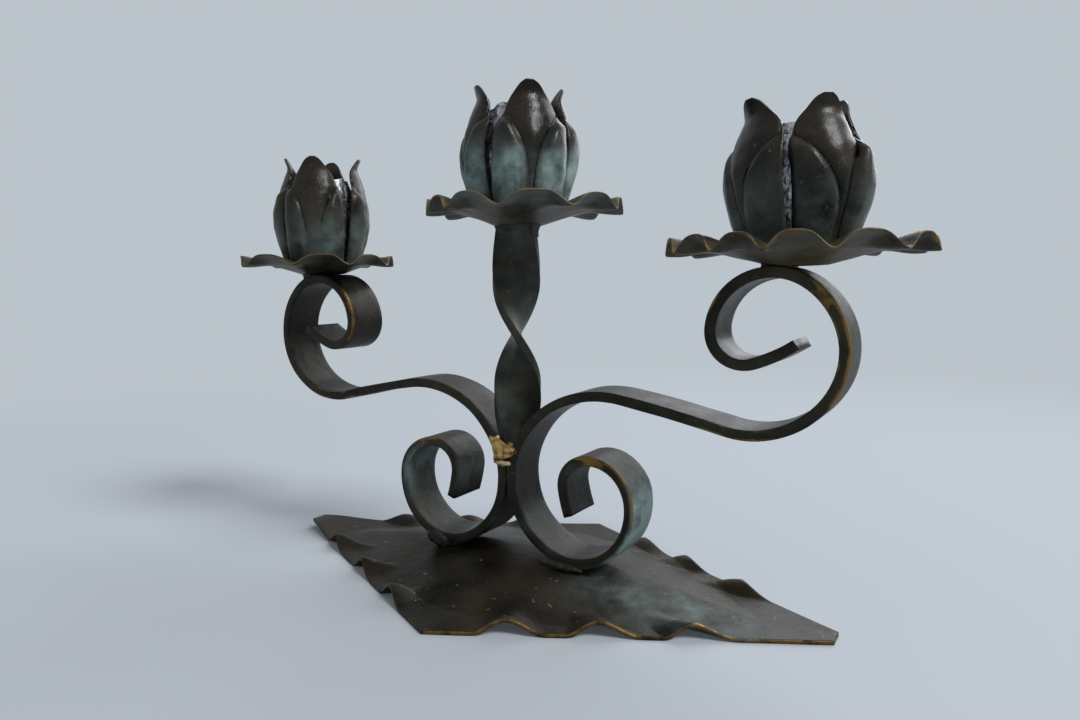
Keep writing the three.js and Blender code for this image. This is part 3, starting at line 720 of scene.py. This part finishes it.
def beaten_petal(side, number):
    flower = FLOWERS[side]
    node = f"petal_{side}_{number}"
    habit = petal_habit(side, number)
    body = flower["cup_radius"] - PETAL_BODY_INSET
    bm = bmesh.new()
    wear = bm.verts.layers.float.new("wear")
    green = bm.verts.layers.float.new("green")
    bmesh.ops.create_grid(bm, x_segments=PETAL_COLUMNS, y_segments=PETAL_ROWS, size=1)
    for vert in bm.verts:
        # The rows lie closer together towards the tip
        column, share = vert.co.x, 1 - clamp01((1 - vert.co.y) / 2) ** 1.25
        radius = body * through(PETAL_PROFILE, share)
        gap = habit["gaps"][column > 0] * smooth(share / 0.6)
        half_angle = math.pi / PETAL_COUNT - math.asin((PETAL_SLIT / 2 + gap) / radius)
        across, in_middle, in_side = petal_across(habit, column, share)
        puff = side_puff(share, in_side)
        sides, middle = habit["relief"]
        bulge = middle_bulge(share, in_middle)
        radius += sides * SIDE_LOBE_RELIEF * puff + middle * MIDDLE_LOBE_RELIEF * bulge
        radius *= habit_reach(habit, share)
        radius += body * habit["curl"] * smooth((share - 0.86) / 0.14)
        lean = math.radians(habit["lean"]) * smooth((share - 0.2) / 0.8)
        angle = math.copysign(across * half_angle, column) + lean
        on_edge = abs(column) > 0.999 or share > 0.999
        vert[wear] = 0.5 if on_edge and share < 0.95 else 0
        # Less verdigris on the middle lobe, in the creases and towards the slits than on the side lobes'
        # beaten ridges, so these parts are darker
        on_lobe = mix(1 - 0.45 * min(1, sides), 1, smooth(puff / 0.5))
        vert[green] = flower["green"] * (1 - smooth((share - 0.2) / 0.52)) * on_lobe
        height = (flower["petal_height"] + habit["taller"]) * share
        vert.co = (radius * math.cos(angle), radius * math.sin(angle), height)
    bmesh.ops.recalc_face_normals(bm, faces=bm.faces)
    if sum(face.normal.dot(face.calc_center_median().xy.to_3d()) for face in bm.faces) < 0:
        bmesh.ops.reverse_faces(bm, faces=bm.faces)
    bmesh.ops.solidify(bm, geom=bm.faces[:], thickness=-PETAL_THICKNESS)
    turn = math.radians(flower["petal_turn"] + habit["set_round"] + 360 / PETAL_COUNT * (number - 1))
    bmesh.ops.rotate(bm, cent=(0, 0, 0), matrix=Matrix.Rotation(turn, 3, "Z"), verts=bm.verts)
    set_on_flower(bm, side, node)
    hammer(bm, depth=0.36, size=5.5, tip_z=node_foot(node) + flower["petal_height"] - UNBEATEN_TIP)
    finish_piece(bm, f"beaten_petal_{side}_{number}", node, PETALS)


# Foil
def nearest_petal(side, point):
    """The habit of the petal that stands before a point of the foil."""
    turn = math.degrees(math.atan2(point.y, point.x)) - FLOWERS[side]["petal_turn"]
    return petal_habit(side, round(turn / (360 / PETAL_COUNT)) % PETAL_COUNT + 1)


def foil_wrap(side):
    flower = FLOWERS[side]
    node = "foil_liner_" + side
    seat = node_foot(node) - node_foot(f"petal_{side}_1")
    body = flower["cup_radius"] - PETAL_BODY_INSET
    bm = bmesh.new()
    outside = [(FOIL_FOOT_RADIUS, 0)]
    for i in range(1, FOIL_ROWS + 1):
        height = FOIL_HEIGHT * i / FOIL_ROWS
        share = clamp01((height + seat) / flower["petal_height"])
        outside.append((body * through(PETAL_PROFILE, share) - PETAL_THICKNESS - FOIL_ROOM, height))
    hole = FOIL_HOLE / 2
    inside = [(hole + FOIL_LIP_WIDTH, FOIL_HEIGHT), (hole, FOIL_HEIGHT - FOIL_LIP_DEPTH)]
    inside += [(hole, FOIL_HEIGHT * (1 - i / FOIL_HOLE_ROWS)) for i in range(1, FOIL_HOLE_ROWS)]
    inside += [(hole, FOIL_FLOOR), (0, FOIL_FLOOR)]
    lathe(bm, [(0, 0)] + outside + inside, FOIL_SEGMENTS, merge=1e-4)
    bmesh.ops.triangulate(bm, faces=bm.faces)
    for vert in bm.verts:
        radius = math.hypot(vert.co.x, vert.co.y)
        # The floor stays flat. Sharp creases lie on folds of 4 mm
        if vert.co.z > FOIL_FLOOR + 0.5 and radius > hole - 0.1:
            crumple = noise.noise_vector(vert.co / 1.7) * 0.4 + noise.noise_vector(vert.co / 4) * 1.1
            outward = vert.co.xy.normalized().to_3d()
            # The foil stays behind the petals outside, and clear of the candle inside
            if radius > hole + 0.5:
                share = clamp01((vert.co.z + seat) / flower["petal_height"])
                drawn_in = max(0, 1 - habit_reach(nearest_petal(side, vert.co), share)) * radius
                vert.co -= outward * min(abs(crumple.x) + drawn_in, radius - hole - 0.4)
            else:
                vert.co += outward * 0.7 * abs(crumple.x)
            vert.co.z += crumple.z
    set_on_flower(bm, side, node)
    finish_piece(bm, "foil_wrap_" + side, node, FOIL, flat=True)


# Filler metal
def molten(bm, name, node, material, lumps, size):
    """Runs the filler into lumps and finishes it."""
    bm.normal_update()
    for vert in bm.verts:
        vert.co += vert.normal * lumps * (noise.noise(vert.co / size) + 0.4 * noise.noise(vert.co / size * 3))
    paint(bm, "wear", lambda vert: 0.2)
    paint(bm, "green", lambda vert: 0.3)
    finish_piece(bm, name, node, material)


def block(strips):
    """A cube of 2 mm, divided so that it can be drawn to shape."""
    bm = bmesh.new()
    bmesh.ops.create_cube(bm, size=2)
    bmesh.ops.subdivide_edges(bm, edges=bm.edges, cuts=strips, use_grid_fill=True)
    return bm


def node_centre(node):
    low, high = node_box(node)
    return (low + high) / 2


# The lump seen from the front, from its middle: its top and foot from left to right, and its two sides
# from its foot up
LUMP_TOP = [(-1, 5.6), (-0.7, 6.2), (-0.35, 5.6), (-0.05, 6), (0.2, 5), (0.45, 2.9), (0.65, 3.6), (1, 1.6)]
LUMP_FOOT = [(-1, -5.6), (-0.6, -4.2), (0.2, -3.6), (0.7, -2.8), (1, -0.8)]
LUMP_LEFT = [(-6, -3.6), (-1, -4), (2, -4.8), (6, -6.6)]
LUMP_RIGHT = [(-6, 1.5), (-3.1, 4), (-1.7, 6.2), (0.8, 7), (3.3, 5.3), (6, 1.2)]
BEAD_PLACE = (1, -1.2, -5)
BEAD_RADII = (4, 1.5, 1.5)
BEAD_TOP = -3.7


def braze_lump():
    """Brass run down into the V between the scrolls, over a separate small bead."""
    node = "braze_joint"
    centre = node_centre(node)
    bm = block(LUMP_STRIPS)
    for vert in bm.verts:
        u, v, w = vert.co
        rounding = math.sqrt(clamp01(1 - u**6)) * math.sqrt(clamp01(1 - w**6))
        height = mix(through(LUMP_FOOT, u), through(LUMP_TOP, u), (w + 1) / 2)
        across = mix(through(LUMP_LEFT, height), through(LUMP_RIGHT, height), (u + 1) / 2)
        depth = mix(1, 2.7, rounding) if v < 0 else 1.5
        vert.co = centre + Vector((across, math.copysign(depth, v), height))
    bead = bmesh.ops.create_icosphere(bm, subdivisions=4, radius=1)["verts"]
    bmesh.ops.scale(bm, vec=BEAD_RADII, verts=bead)
    bmesh.ops.translate(bm, vec=centre + Vector(BEAD_PLACE), verts=bead)
    paint(bm, "fresh", lambda vert: smooth((centre.z + BEAD_TOP - vert.co.z) / 0.5))
    molten(bm, "brazing_lump", node, BRAZE, lumps=0.35, size=1.8)


def foot_weld(side, name, radii, lift, tilt, lumps):
    """A bead of weld between a scroll and the plate, along the scroll's near edge."""
    node = "weld_foot_" + side
    bm = bmesh.new()
    bmesh.ops.create_icosphere(bm, subdivisions=5, radius=1)
    bmesh.ops.scale(bm, vec=radii, verts=bm.verts)
    bmesh.ops.rotate(bm, cent=(0, 0, 0), matrix=Matrix.Rotation(math.radians(tilt), 3, "Y"), verts=bm.verts)
    bmesh.ops.translate(bm, vec=node_centre(node) + Vector((0, 0, lift)), verts=bm.verts)
    molten(bm, name, node, PLATE, lumps, size=2.6)


def pan_weld(side):
    """Weld that fills the wedge between a scroll's crown and the pan on the crown's inner side."""
    node = "weld_pan_" + side
    flower = FLOWERS[side]
    cup = cup_centre(side)
    under = node_foot("drip_pan_" + side)
    crown_z = node_box("scroll_bar_" + side)[1].z
    radius = UPPER_BENDS[CROWN_BEND][0] + BAR_THICKNESS / 2
    reach = PAN_WELD_REACH[side]
    bm = block(WELD_STRIPS)
    for vert in bm.verts:
        u, v, w = vert.co
        hollow = 1 - w * w
        x = cup.x + mix(reach[0] + 1.6 * hollow, reach[1] - 0.8 * hollow, (u + 1) / 2)
        y = (BAR_WIDTH / 2 + 0.4 - 0.9 * hollow) * v
        fall = radius - math.sqrt(max(radius**2 - (x - CROWNS[side]) ** 2, 0))
        pan_z = under + pan_rise(math.hypot(x - cup.x, y), flower["pan_radius"], flower["pan_depth"]) + 0.5
        vert.co = (x, y, mix(crown_z - fall - 0.7, pan_z, (w + 1) / 2))
    molten(bm, "weld_fillet_pan_" + side, node, PANS, lumps=0.25, size=2.4)


def stem_collar():
    """Braze that flares the stem's top out to the pan, short of one corner."""
    node = "braze_pan_center"
    stem_low, stem_high = node_box("twisted_centre_bar")
    under = node_foot("drip_pan_center")
    bm = block(WELD_STRIPS)
    for vert in bm.verts:
        u, v, w = vert.co
        z = mix(stem_high.z - COLLAR_HEIGHT, under + 0.6, (w + 1) / 2)
        flare = smooth((w + 1) / 2) ** 2
        across = mix(-1, 0.78, (u + 1) / 2) * (BAR_WIDTH / 2 + 0.2 + 1.1 * flare)
        through_bar = v * (BAR_THICKNESS / 2 + 0.2 + 1.6 * flare)
        turn = stem_turn(clamp01((z - stem_low.z) / (stem_high.z - stem_low.z)))
        vert.co = Matrix.Rotation(turn, 3, "Z") @ Vector((through_bar, across, z))
    middle = (stem_low + stem_high) / 2
    bmesh.ops.translate(bm, vec=(middle.x, middle.y, 0), verts=bm.verts)
    molten(bm, "braze_collar_pan_center", node, BARS, lumps=0.3, size=2.4)


rolled_scroll("left", -1)
rolled_scroll("right", 1)
twisted_stem()
leaf_foot()
for flower_side in FLOWERS:
    ruffled_pan(flower_side)
    foil_wrap(flower_side)
    for petal_number in range(1, PETAL_COUNT + 1):
        beaten_petal(flower_side, petal_number)
braze_lump()
foot_weld("left", "weld_nugget_foot_left", radii=(7, 4.2, 3.6), lift=0.5, tilt=16, lumps=0.5)
foot_weld("right", "weld_bead_foot_right", radii=(10, 2, 1.5), lift=0, tilt=4, lumps=0.6)
pan_weld("left")
pan_weld("right")
stem_collar()


# Camera, floor and light
def place_camera():
    data = bpy.data.cameras.new("camera")
    data.lens = CAMERA_LENS
    data.sensor_width = 36
    data.clip_start = 0.01
    camera = bpy.data.objects.new("camera", data)
    bpy.context.scene.collection.objects.link(camera)
    yaw, pitch, rolled = (math.radians(a) for a in (CAMERA_YAW, CAMERA_PITCH, CAMERA_ROLL))
    camera.matrix_world = (Matrix.Translation(Vector(CAMERA_PLACE) * MM) @ Matrix.Rotation(yaw, 4, "Z")
                           @ Matrix.Rotation(math.pi / 2 - pitch, 4, "X") @ Matrix.Rotation(-rolled, 4, "Z"))
    bpy.context.scene.camera = camera


BACKDROP = "#bcc4cb"
PAPER_OWN_LIGHT = 0.08            # share of the paper's tone that no shadow takes away
PAPER_RADIUS = 12                 # metres
PAPER_FADE = (0.2, 0.9)           # metres from the middle, between which it turns into the backdrop
ROOM_LIGHT = 0.24
LAMP_AIM = (0, 0, 0.08)


def paper_floor():
    """Pale blue-grey paper that keeps the shadows. Far off it is the backdrop's own colour."""
    material, tree = new_material("pale_studio_paper")
    place = add(tree, "TexCoord").outputs["Object"]
    reach = add(tree, "VectorMath", {0: place}, operation="LENGTH")
    far = add(tree, "MapRange", {"Value": reach.outputs["Value"], "From Min": PAPER_FADE[0],
                                 "From Max": PAPER_FADE[1], "To Min": PAPER_OWN_LIGHT},
              interpolation_type="SMOOTHSTEP")
    lit = add(tree, "BsdfDiffuse", {"Color": srgb(BACKDROP)})
    glow = add(tree, "Emission", {"Color": srgb(BACKDROP), "Strength": 1.0})
    either = add(tree, "MixShader", {0: far.outputs[0], 1: lit.outputs[0], 2: glow.outputs[0]})
    add(tree, "OutputMaterial", {"Surface": either.outputs[0]})
    bm = bmesh.new()
    bmesh.ops.create_circle(bm, cap_ends=True, segments=96, radius=PAPER_RADIUS)
    mesh = bpy.data.meshes.new("floor")
    bm.to_mesh(mesh)
    bm.free()
    mesh.materials.append(material)
    floor = bpy.data.objects.new("floor", mesh)
    bpy.context.scene.collection.objects.link(floor)


def studio_world():
    """Soft light from all round. The camera and the metal's reflections see the backdrop's colour."""
    world = bpy.data.worlds.new("studio")
    bpy.context.scene.world = world
    world.use_nodes = True
    tree = world.node_tree
    tree.nodes.clear()
    ray = add(tree, "LightPath")
    sees = add(tree, "Math", {0: ray.outputs["Is Camera Ray"], 1: ray.outputs["Is Glossy Ray"]},
               operation="MAXIMUM")
    shows = add(tree, "Math", {0: sees.outputs[0], 1: ray.outputs["Is Transmission Ray"]},
                operation="MAXIMUM")
    soft = add(tree, "Background", {"Color": srgb("#f2f3f6"), "Strength": ROOM_LIGHT})
    seen = add(tree, "Background", {"Color": srgb(BACKDROP), "Strength": 1.0})
    either = add(tree, "MixShader", {0: shows.outputs[0], 1: soft.outputs[0], 2: seen.outputs[0]})
    add(tree, "OutputWorld", {"Surface": either.outputs[0]})


def softbox(name, place, size, watts, colour):
    """A round lamp, placed in metres, that looks at the candelabra."""
    data = bpy.data.lights.new(name, "AREA")
    data.shape = "DISK"
    data.size = size
    data.energy = watts
    data.color = srgb(colour)[:3]
    lamp = bpy.data.objects.new(name, data)
    bpy.context.scene.collection.objects.link(lamp)
    place = Vector(place)
    aim = Vector(LAMP_AIM) - place
    lamp.matrix_world = Matrix.Translation(place) @ aim.to_track_quat("-Z", "Y").to_matrix().to_4x4()


place_camera()
paper_floor()
studio_world()
softbox("window_right", (2.6, -0.3, 2.8), 1.3, 98, "#fdfdff")
softbox("window_back", (0.4, 2.4, 1.8), 3.2, 70, "#f9faff")
bpy.context.scene.view_settings.view_transform = "Standard"
